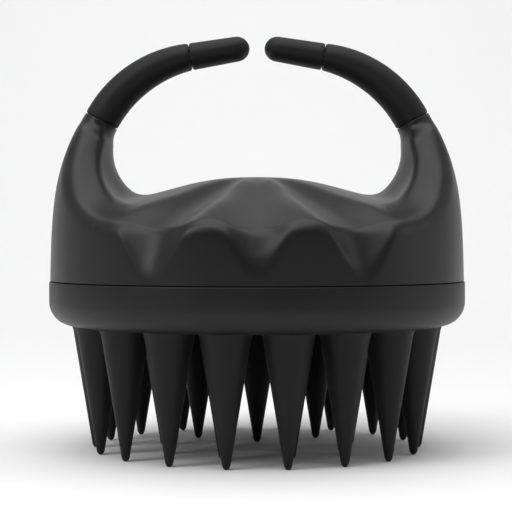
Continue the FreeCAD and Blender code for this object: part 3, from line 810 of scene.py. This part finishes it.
class MASSAGER_OT_ring(bpy.types.Operator):
    """Model the base ring with its round lower edge, its skirt and its ledge"""
    bl_idname = "massager.ring"
    bl_label = "Base ring"

    def execute(self, context):
        corner, lip = 4.5, 0.22
        opening, ledge = BED_RADIUS + 0.15, 2.85
        skirt, skirt_wall, skirt_edge = HEAD_RADIUS - 2.9, 1.8, 0.2
        outline = arc((HEAD_RADIUS - corner, BED_UNDER + corner), corner, -79.0, 0.0, 14)
        outline += arc((HEAD_RADIUS - lip, PARTING - lip), lip, 0.0, 90.0, 4)
        outline += [(skirt, PARTING), (skirt, SKIRT_TOP - skirt_edge)]
        outline += [(skirt - skirt_edge, SKIRT_TOP), (skirt - skirt_wall, SKIRT_TOP)]
        outline += [(skirt - skirt_wall, PARTING), (opening - ledge, PARTING)]
        outline += [(opening - ledge, PLATE_TOP), (opening, PLATE_TOP)]
        outline += [(opening, BED_UNDER + 0.25)]
        ring = extruded("base_ring_visual", round_rings(outline, 192), ends="joined")
        smooth(ring)
        darker = scaled(context.scene.massager.finish.plastic, 0.72)
        dress(ring, satin_plastic("ring_plastic_finish", darker, 0.44))
        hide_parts("base_ring")
        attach(ring, "head")
        return {"FINISHED"}


class MASSAGER_OT_bed(bpy.types.Operator):
    """Model the silicone bed that the tines stand in"""
    bl_idname = "massager.bed"
    bl_label = "Bristle bed"

    def execute(self, context):
        silicone = context.scene.massager.finish.silicone
        edge = 0.35
        outline = [(1.0, PLATE_UNDER), (BED_RADIUS - edge, PLATE_UNDER)]
        outline += [(BED_RADIUS, PLATE_UNDER - edge)]
        outline += arc((BED_RADIUS - edge, BED_UNDER + edge), edge, 0.0, -90.0, 3)
        outline += [(6.0, BED_UNDER), (1.0, BED_UNDER)]
        bed = extruded("bristle_bed_visual", round_rings(outline, 96))
        smooth(bed)
        dress(bed, matte_silicone("bed_silicone_finish", silicone))
        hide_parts("bristle_bed")
        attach(bed, "head")
        return {"FINISHED"}


class MASSAGER_OT_tines(bpy.types.Operator):
    """Model one soft cone and stand a copy of it at each place in the bed"""
    bl_idname = "massager.tines"
    bl_label = "Tines"

    bend_length = 7.0  # a length from the bed down, which nothing uses

    def execute(self, context):
        settings = context.scene.massager
        root = settings.tine.root_diameter / MM / 2
        tip = settings.tine.tip_diameter / MM / 2
        foot, ball = 0.35, tip * 1.04
        lean = (root - tip) / BED_UNDER
        outline = [(root + foot, BED_UNDER - 0.01), (root + foot * 0.45, BED_UNDER - 0.12)]
        outline += [(root + foot * 0.1, BED_UNDER - 0.45)]
        outline += [(tip + lean * z, z) for z in np.linspace(BED_UNDER - 1.2, 0.6, 12)]
        outline += arc((0.0, ball), ball, -12.0, -84.0, 6)
        cone = extruded("tine_pattern", round_rings(outline, 36))
        smooth(cone, 50.0)
        dress(cone, matte_silicone("tine_silicone_finish", settings.finish.silicone))
        for name in TINES:
            pivot = Vector(JOINTS[name + "_flex"]["pos_m"])
            turn = Matrix.Rotation(math.atan2(pivot.y, pivot.x), 4, "Z")
            tine = copy_of(cone, name + "_visual", Matrix.Translation((pivot.x, pivot.y, 0)) @ turn)
            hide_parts(name)
            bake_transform(tine)
        bpy.data.objects.remove(cone)
        return {"FINISHED"}


class ArmLine:
    """The middle line of the right arm, in millimetres, measured from its seam."""

    def __init__(self, arm):
        self.start, self.end = arm.root_angle, arm.end_angle
        self.turn = self.start - self.end
        chord = (KNEE - SEAM).length
        self.radius = chord / 2 / math.sin(self.turn / 2)
        self.length = self.radius * self.turn
        self.centre = SEAM - self.across(0.0) * self.radius

    def angle(self, s):
        return self.start - min(max(s / self.length, 0.0), 1.0) * self.turn

    def along(self, s):
        a = self.angle(s)
        return Vector((-math.cos(a), 0, math.sin(a)))

    def across(self, s):
        a = self.angle(s)
        return Vector((math.sin(a), 0, math.cos(a)))

    def point(self, s):
        if s < 0:
            return SEAM + self.along(0.0) * s
        if s > self.length:
            return KNEE + self.along(self.length) * (s - self.length)
        return self.centre + self.across(s) * self.radius

    def oval(self, s, half_thick, half_deep, sides=48):
        """A ring of points square to the arm."""
        middle, out = self.point(s), self.across(s)
        turns = [2 * math.pi * k / sides for k in range(sides)]
        deep = Vector((0, half_deep, 0))
        return [middle + out * half_thick * math.cos(a) + deep * math.sin(a) for a in turns]

    def strip(self, s, half_thick, half_wide, corner):
        """A rectangle of points square to the arm, with its corners taken off."""
        middle, out = self.point(s), self.across(s)
        t, w = half_thick, half_wide
        corners = [(t, w - corner), (t - corner, w), (corner - t, w), (-t, w - corner),
                   (-t, corner - w), (corner - t, -w), (t - corner, -w), (t, corner - w)]
        return [middle + out * a + Vector((0, b, 0)) for a, b in corners]


def seam_point(place, direction, reach, sign):
    """A point in metres on either side, some millimetres along the arm from a place."""
    p = (place + direction * reach) * MM
    return Vector((sign * p.x, 0, p.z))


def both_sides(right, name, slot, node, near, far, place, direction, reach):
    """Gives a right-hand piece its left twin, hides each side's CAD node and puts each piece's
    place into its mesh.

    node ends the name of the CAD node; near and far, the ends of the names of the bodies on the
    seam's two sides, are not used.
    """
    left = copy_of(right, "left_" + name, Matrix.Scale(-1, 4, (1, 0, 0)))
    right.name = right.data.name = "right_" + name
    for obj, side, sign in ((right, "right", 1), (left, "left", -1)):
        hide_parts(side + node)
        near if near == "head" else side + near
        side + far
        seam_point(place, direction, 0.0, sign)
        seam_point(place, direction, reach, sign)
        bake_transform(obj)


class MASSAGER_OT_arms(bpy.types.Operator):
    """Model the sleeves, the end pieces and the spring strips inside them"""
    bl_idname = "massager.arms"
    bl_label = "Arms"

    gap = 0.05  # half of what parts the two pieces at a seam
    bend_at_root = 9.0  # a length of the arm past each seam; it has no effect
    bend_at_knee = 6.5
    edge_turns = (0.0, 0.5, 1.0, 1.57)  # steps round a seam's edge, in radians
    clear_of_edge = 1.2  # where the plain part of a piece starts
    last_turn = 1.45  # how far the round end goes round before its flat
    spring_wide = 2.2  # half the strip's width
    spring_thick = 0.4  # half its thickness
    spring_ends = 6.0  # how far it goes on past each seam

    def execute(self, context):
        settings = context.scene.massager
        arm = settings.arm
        line = ArmLine(arm)
        silicone = settings.finish.silicone
        self.sleeve(arm, line, matte_silicone("arm_silicone_finish", silicone))
        self.end_piece(arm, line, matte_silicone("tip_silicone_finish", silicone))
        steel = settings.finish.steel
        self.spine(line, rolled_steel("spring_steel_finish", steel, (1.0, 8.0, 1.0)))
        return {"FINISHED"}

    def sleeve(self, arm, line, material):
        edge = arm.edge / MM
        root, knee = arm.root_thickness / MM / 2, arm.knee_thickness / MM / 2
        deep, shallow = arm.root_depth / MM / 2, arm.knee_depth / MM / 2
        stops = [(self.gap + edge * (1 - math.cos(a)), edge * (1 - math.sin(a)))
                 for a in self.edge_turns]
        plain = self.gap + self.clear_of_edge
        middle = [(s, 0.0) for s in np.linspace(plain, line.length - plain, 22)]
        ends = [(line.length - s, back) for s, back in reversed(stops)]
        rings = []
        for s, back in stops + middle + ends:
            share = s / line.length
            thick = root + (knee - root) * share ** 2 - back
            rings.append(line.oval(s, thick, deep + (shallow - deep) * share - back))
        sleeve = extruded("arm_sleeve_visual", rings)
        smooth(sleeve, 50.0)
        dress(sleeve, material)
        both_sides(sleeve, "arm_sleeve_visual", "arm_silicone", "_arm_sleeve", "head", "_arm",
                   SEAM, line.along(0), self.bend_at_root)

    def end_piece(self, arm, line, material):
        edge = arm.edge / MM
        root, end = arm.knee_thickness / MM / 2, arm.end_thickness / MM / 2
        deep = arm.knee_depth / MM / 2
        reach = (KNEE.x - TIP_END) / math.cos(arm.end_angle)
        shoulder = reach - end * 1.05
        rings = []
        for a in self.edge_turns:
            back = edge * (1 - math.sin(a))
            s = line.length + self.gap + edge * (1 - math.cos(a))
            rings.append(line.oval(s, root - back, deep - back))
        for s in np.linspace(self.clear_of_edge, shoulder, 8):
            share = s / shoulder
            thick = root + (end - root) * share
            rings.append(line.oval(line.length + s, thick, deep * thick / root))
        for a in np.linspace(0.0, self.last_turn, 9)[1:]:
            thick = end * math.cos(a)
            s = shoulder + (reach - shoulder) * math.sin(a) / math.sin(self.last_turn)
            rings.append(line.oval(line.length + s, thick, deep * thick / root))
        piece = extruded("arm_tip_visual", rings)
        smooth(piece, 50.0)
        dress(piece, material)
        both_sides(piece, "arm_tip_visual", "tip_silicone", "_arm_tip", "_arm", "_tip",
                   KNEE, line.along(line.length), self.bend_at_knee)

    def spine(self, line, material):
        """The spring strip: one length to the middle of the arm, and one on into the end piece."""
        middle, parted = line.length / 2, 0.02
        wide, barb = self.spring_wide, 2.9
        foot = [(-self.spring_ends, barb), (-4.7, barb), (-4.6, wide), (-0.5, wide)]
        lower = foot + [(s, wide) for s in np.linspace(0.5, middle - parted, 10)]
        last = line.length + self.spring_ends
        upper = [(s, wide) for s in np.linspace(middle + parted, last, 12)]
        root, knee = line.along(0), line.along(line.length)
        for name, stops, seam in (
                ("spine_lower_visual", lower, ("head", "_arm", SEAM, root, self.bend_at_root)),
                ("spine_upper_visual", upper, ("_arm", "_tip", KNEE, knee, self.bend_at_knee))):
            strip = extruded(name, [line.strip(s, self.spring_thick, w, 0.1) for s, w in stops])
            smooth(strip)
            dress(strip, material)
            both_sides(strip, name, "spring_steel", "_arm_spine", *seam)


class MASSAGER_OT_inner_parts(bpy.types.Operator):
    """Give the plate, the screws and the seal inside the head their finishes"""
    bl_idname = "massager.inner_parts"
    bl_label = "Inner parts"

    def execute(self, context):
        colours = context.scene.massager.finish
        nodes = frame["nodes"]
        dress(nodes["carrier_plate"],
              satin_plastic("carrier_plastic_finish", scaled(colours.plastic, 0.6), 0.5))
        dress(nodes["carrier_screws"],
              rolled_steel("screw_steel_finish", colours.steel, (6.0, 6.0, 1.0)))
        dress(nodes["parting_seal"],
              matte_silicone("seal_rubber_finish", scaled(colours.silicone, 0.5)))
        return {"FINISHED"}


HEAD_MIDDLE = (0.0, 0.0, 0.04)
# each light's name, size, watts, azimuth from the front, height in degrees, distance and aim
LIGHTS = (
    ("top_light", (1.0, 0.8), 3.9, 180.0, 80.0, 0.9, HEAD_MIDDLE),
    ("front_light", (0.5, 0.4), 0.9, 0.0, 65.0, 0.8, HEAD_MIDDLE),
    ("key_light", (0.3, 0.35), 1.3, -56.0, 38.0, 0.7, HEAD_MIDDLE),
    ("high_left_light", (0.3, 0.3), 0.8, -30.0, 60.0, 0.7, HEAD_MIDDLE),
    ("high_right_light", (0.3, 0.3), 0.4, 30.0, 60.0, 0.7, HEAD_MIDDLE),
    ("side_light", (0.2, 0.4), 0.25, 90.0, 20.0, 0.7, HEAD_MIDDLE),
    ("backdrop_light", (1.6, 0.4), 4.6, 180.0, 48.0, 1.0, (0.0, 1.3, 0.35)),
)


class MASSAGER_OT_stage(bpy.types.Operator):
    """Set up the paper sweep, the soft lights and the camera"""
    bl_idname = "massager.stage"
    bl_label = "Studio"

    def execute(self, context):
        settings = context.scene.massager
        context.scene.view_settings.view_transform = "Standard"
        self.sweep(settings.finish.paper)
        self.surroundings()
        for light in LIGHTS:
            self.softbox(*light)
        self.camera(settings.studio)
        return {"FINISHED"}

    def sweep(self, colour):
        """A sheet of paper that lies flat and then curves up behind the brush."""
        deselect()
        bpy.ops.mesh.primitive_plane_add(size=3.0, location=(0, -0.8, 0))
        sheet = named("paper_sweep")
        edit(sheet)
        select_where(sheet, lambda p: p.y > 0)
        bpy.ops.mesh.select_mode(type="EDGE")
        bpy.ops.mesh.spin(steps=24, angle=math.pi / 2, center=(0, 0.7, 0.6), axis=(-1, 0, 0))
        bpy.ops.mesh.extrude_region_move(TRANSFORM_OT_translate={"value": (0, 0, 2.0)})
        bpy.ops.mesh.select_all(action="SELECT")
        bpy.ops.mesh.normals_make_consistent(inside=False)
        edit_done()
        smooth(sheet, 40.0)
        dress(sheet, sweep_paper("sweep_paper_finish", colour))

    def surroundings(self):
        """A pale room with a dark screen in front of the brush, to keep its front faces black."""
        world = bpy.data.worlds.new("studio")
        bpy.context.scene.world = world
        world.use_nodes = True
        room = NodeSums(world.node_tree)
        way = room.node("ShaderNodeTexCoord", output="Generated")
        behind = room.node("ShaderNodeSeparateXYZ", [way], output="Y")
        room.feed("Background", "Strength", room.ramp(behind, -0.9, -0.1) * 0.42 + 0.05)
        room.tree.nodes["Background"].inputs["Color"].default_value = (1.0, 1.0, 1.0, 1.0)

    def softbox(self, name, size, watts, azimuth, height, distance, aim):
        """An area light at a distance from the head, on the side that an azimuth gives."""
        a, h = math.radians(azimuth), math.radians(height)
        way = Vector((math.sin(a) * math.cos(h), -math.cos(a) * math.cos(h), math.sin(h)))
        light = bpy.data.lights.new(name, "AREA")
        light.shape = "RECTANGLE"
        light.size, light.size_y = size
        light.energy = watts
        lamp = bpy.data.objects.new(name, light)
        lamp.location = Vector(HEAD_MIDDLE) + way * distance
        way = lamp.location - Vector(aim)
        lamp.rotation_euler = way.to_track_quat("Z", "Y").to_euler()
        bpy.context.scene.collection.objects.link(lamp)

    def camera(self, studio):
        eye = bpy.data.objects.new("camera", bpy.data.cameras.new("camera"))
        eye.data.lens = studio.lens
        eye.data.sensor_width = 36.0
        eye.data.clip_start = 0.01
        eye.location = (-0.2 * MM, -studio.distance, studio.height)
        eye.rotation_euler = (math.pi / 2 - studio.pitch, 0, 0)
        bpy.context.scene.collection.objects.link(eye)
        bpy.context.scene.camera = eye


class MassagerSettings(bpy.types.PropertyGroup):
    """All of the brush's settings"""
    shell: bpy.props.PointerProperty(
        type=ShellSizes, name="Shell", description="Dome, dimples and horns")
    arm: bpy.props.PointerProperty(
        type=ArmSizes, name="Arms", description="Sleeves and end pieces")
    tine: bpy.props.PointerProperty(
        type=TineSizes, name="Tines", description="Soft cones")
    finish: bpy.props.PointerProperty(
        type=FinishColours, name="Finishes", description="Colours")
    studio: bpy.props.PointerProperty(
        type=StudioSizes, name="Studio", description="Camera")


STEPS = (MASSAGER_OT_shell, MASSAGER_OT_ring, MASSAGER_OT_bed, MASSAGER_OT_tines, MASSAGER_OT_arms,
         MASSAGER_OT_inner_parts, MASSAGER_OT_stage)


class MASSAGER_PT_pieces(bpy.types.Panel):
    """Lists the pieces in the sidebar"""
    bl_idname = "MASSAGER_PT_pieces"
    bl_label = "Scalp massager"
    bl_space_type = "VIEW_3D"
    bl_region_type = "UI"
    bl_category = "Massager"

    def draw(self, context):
        for step in STEPS:
            self.layout.operator(step.bl_idname)
        settings = context.scene.massager
        for group in ("shell", "arm", "tine", "finish", "studio"):
            box = self.layout.box()
            values = getattr(settings, group)
            for name in values.__annotations__:
                box.prop(values, name)


CLASSES = (ShellSizes, ArmSizes, TineSizes, FinishColours, StudioSizes, MassagerSettings) + STEPS
CLASSES += (MASSAGER_PT_pieces,)


def register():
    for cls in CLASSES:
        bpy.utils.register_class(cls)
    bpy.types.Scene.massager = bpy.props.PointerProperty(type=MassagerSettings)


def unregister():
    del bpy.types.Scene.massager
    for cls in reversed(CLASSES):
        bpy.utils.unregister_class(cls)


def main():
    register()
    for step in STEPS:
        group, name = step.bl_idname.split(".")
        getattr(getattr(bpy.ops, group), name)()


if __name__ == "__main__":
    main()
